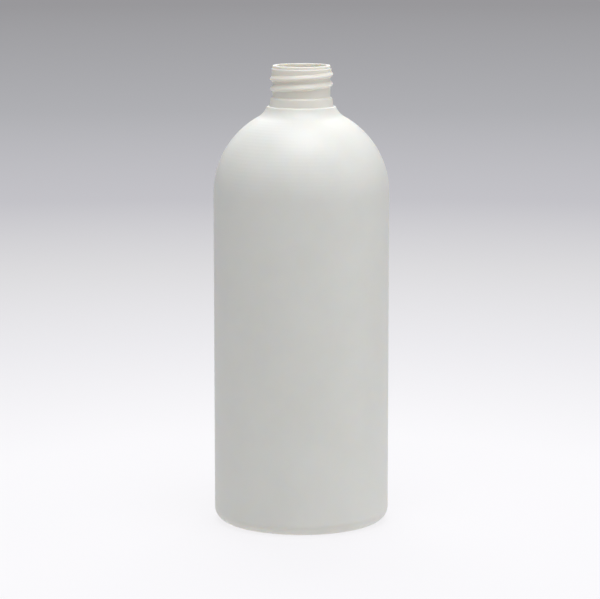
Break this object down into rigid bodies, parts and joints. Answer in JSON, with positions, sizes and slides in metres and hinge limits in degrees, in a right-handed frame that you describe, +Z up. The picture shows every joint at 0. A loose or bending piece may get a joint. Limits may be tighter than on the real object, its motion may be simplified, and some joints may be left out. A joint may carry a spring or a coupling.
{
  "type": "round bottle",
  "caption": "Round plastic bottle with a straight body, domed shoulder and open threaded neck.",
  "frame": {"origin": "centre of the standing ring, on the surface that the bottle stands on", "axes": "+Z up along the bottle's axis and out of the mouth; -Y towards the front, where both turns of the thread rise to the right"},
  "size_m": [0.0758, 0.0758, 0.1986],
  "materials": {
    "bottle_plastic": "satin, as moulded"
  },
  "bodies": {
    "root": {"bottle": "bottle_plastic"}
  },
  "joints": []
}
